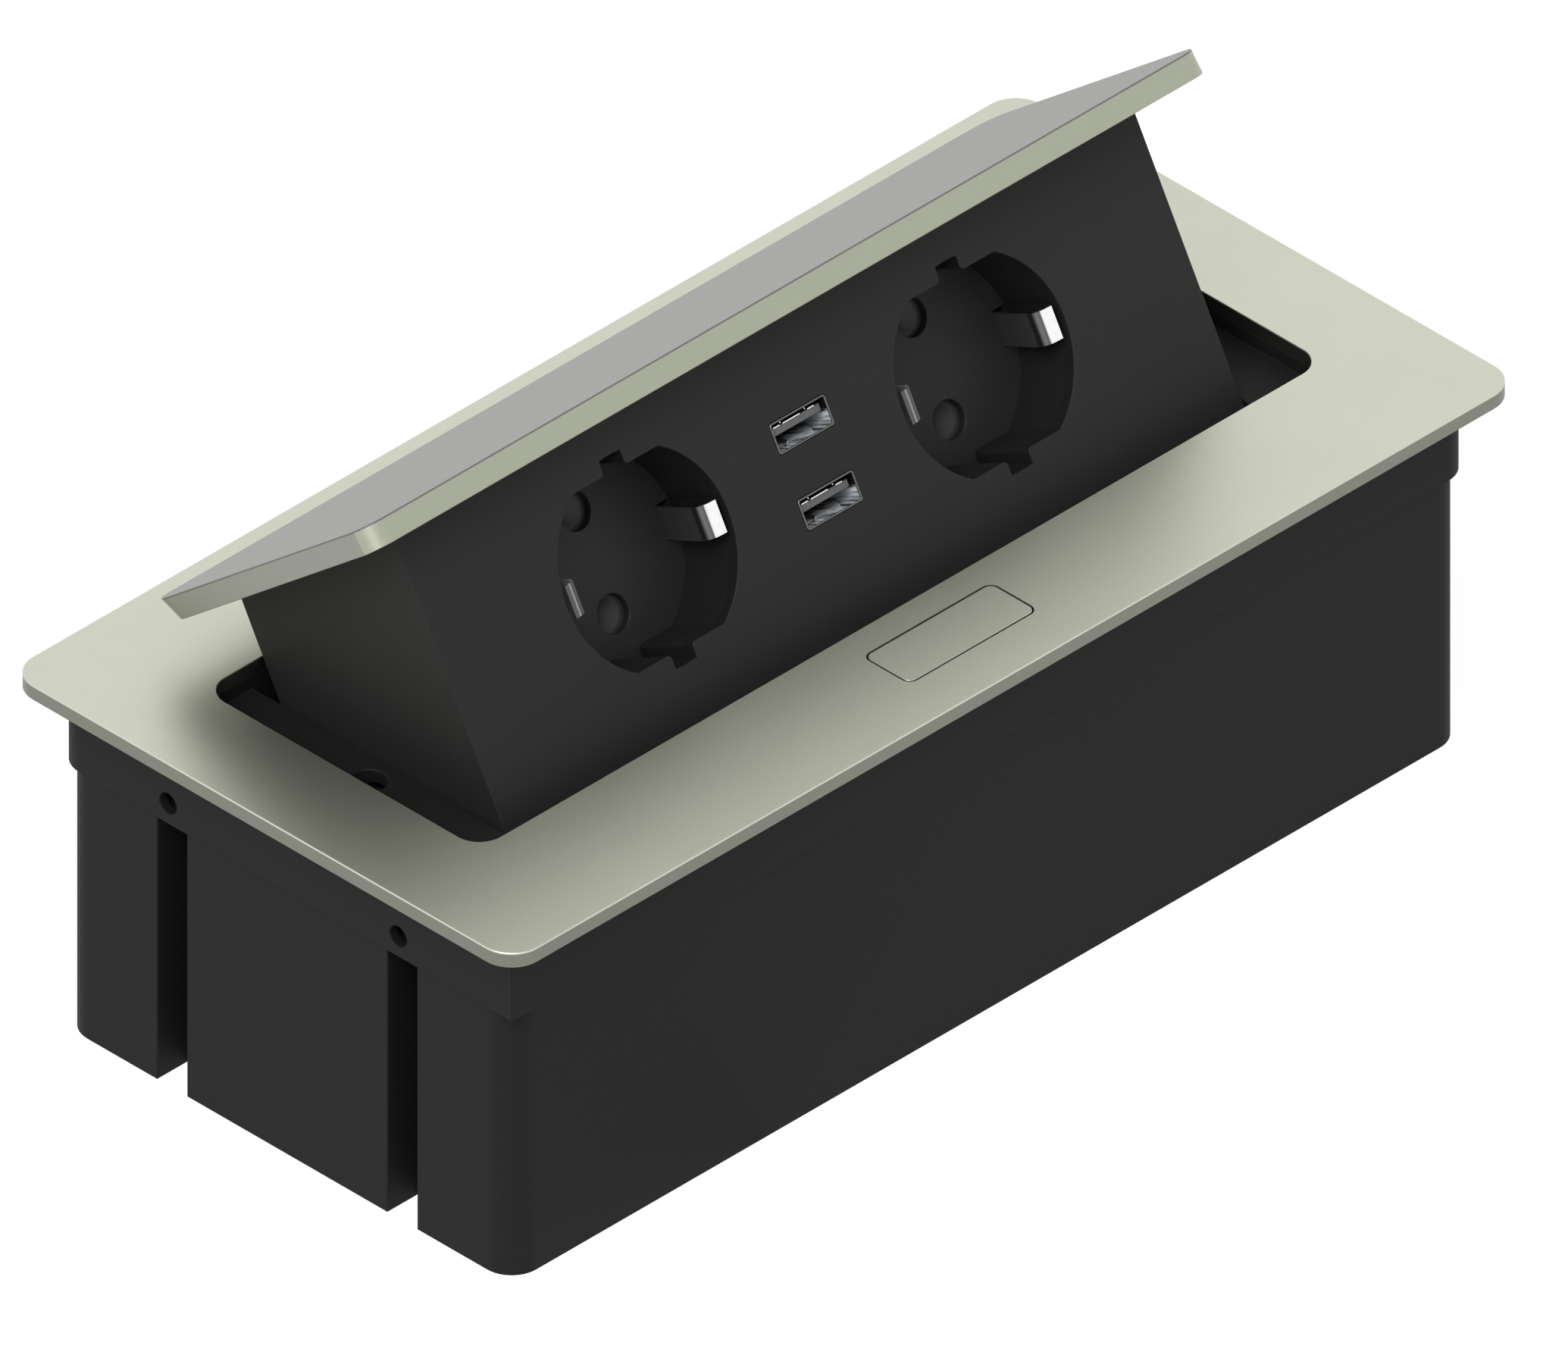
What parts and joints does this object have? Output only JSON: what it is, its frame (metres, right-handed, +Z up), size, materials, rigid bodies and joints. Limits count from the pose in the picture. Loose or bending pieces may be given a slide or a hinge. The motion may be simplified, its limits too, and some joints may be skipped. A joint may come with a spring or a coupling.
{
  "type": "flip-up furniture socket",
  "caption": "Desk-mounted power unit with an aluminium flange and a sprung lid module that swings up to show recessed round earthed plug sockets and charging ports.",
  "frame": {"origin": "centre of the flange's underside, on the desk surface that the flange rests on", "axes": "+X along the flange, to the right when the sockets are faced; +Y towards the side that the lid swings from; +Z up out of the desk"},
  "size_m": [0.24, 0.12, 0.1245],
  "materials": {
    "anodised_aluminium": "satin",
    "lid_aluminium": "satin",
    "black_housing": "matte",
    "black_module": "fine matte",
    "black_insert": "fine matte",
    "contact_brass": "plain",
    "sprung_steel": "bright plated",
    "zinc_steel": "zinc plated",
    "port_steel": "bright",
    "tongue_plastic": "matte",
    "copper_bar": "plain",
    "board_laminate": "plain",
    "grey_moulding": "plain",
    "gear_plastic": "plain",
    "gland_rubber": "matte"
  },
  "bodies": {
    "housing": {"top_frame": "anodised_aluminium", "collar": "black_housing", "tub": "black_housing", "frame_screws": "zinc_steel", "housing_screws": "zinc_steel", "gland_plate": "black_housing", "cable_gland": "gland_rubber", "guide_quadrant_left": "zinc_steel", "guide_quadrant_right": "zinc_steel", "quadrant_screws": "zinc_steel", "button_spring": "sprung_steel"},
    "module": {"lid": "lid_aluminium", "cover_screws": "zinc_steel", "lid_screws": "zinc_steel", "strike_screws": "zinc_steel", "module_shell": "black_module", "rear_cover": "black_module", "strike_plate": "zinc_steel", "guide_pins": "sprung_steel", "damper_case": "grey_moulding", "lift_spring_case": "grey_moulding", "bus_bars": "copper_bar", "terminal_block": "grey_moulding", "port_shells": "port_steel", "port_tongues": "tongue_plastic", "charger_board": "board_laminate", "socket_left": "black_insert", "socket_back_left": "black_insert", "pin_contacts_left": "contact_brass", "earth_clips_left": "sprung_steel", "socket_right": "black_insert", "socket_back_right": "black_insert", "pin_contacts_right": "contact_brass", "earth_clips_right": "sprung_steel"},
    "button": {"button": "anodised_aluminium", "latch_hook": "zinc_steel"},
    "shutter_slide_left": {"shutter_left": "black_insert"},
    "shutter_slide_right": {"shutter_right": "black_insert"},
    "damper_gear": {"damper_pinion": "gear_plastic"},
    "spring_gear": {"spring_pinion": "gear_plastic"}
  },
  "joints": [
    {"name": "module_flip", "type": "hinge", "parent": "housing", "child": "module", "pos_m": [0, 0.0548, -0.0111], "axis": [1, 0, 0], "range_deg": [0, 38.75], "stiffness_Nm_per_rad": 0.5, "springref_deg": -68.75},
    {"name": "button_press", "type": "slide", "parent": "housing", "child": "button", "axis": [0, 0, -1], "range_m": [0, 0.0025], "stiffness_N_per_m": 400, "springref_m": -0.003, "deforming": ["button_spring"]},
    {"name": "shutter_left_slide", "type": "slide", "parent": "module", "child": "shutter_slide_left", "axis": [-1, 0, 0], "range_m": [0, 0.0085], "stiffness_N_per_m": 60, "springref_m": -0.004},
    {"name": "shutter_right_slide", "type": "slide", "parent": "module", "child": "shutter_slide_right", "axis": [-1, 0, 0], "range_m": [0, 0.0085], "stiffness_N_per_m": 60, "springref_m": -0.004},
    {"name": "damper_pinion_spin", "type": "hinge", "parent": "module", "child": "damper_gear", "pos_m": [-0.09, 0.00497, -0.01634], "axis": [1, 0, 0], "range_deg": [-5, 325]},
    {"name": "spring_pinion_spin", "type": "hinge", "parent": "module", "child": "spring_gear", "pos_m": [0.09, 0.00497, -0.01634], "axis": [1, 0, 0], "range_deg": [-5, 325]}
  ],
  "couplings": [
    {"joint": "damper_pinion_spin", "follows": "module_flip", "ratio": 8.2778},
    {"joint": "spring_pinion_spin", "follows": "module_flip", "ratio": 8.2778}
  ]
}
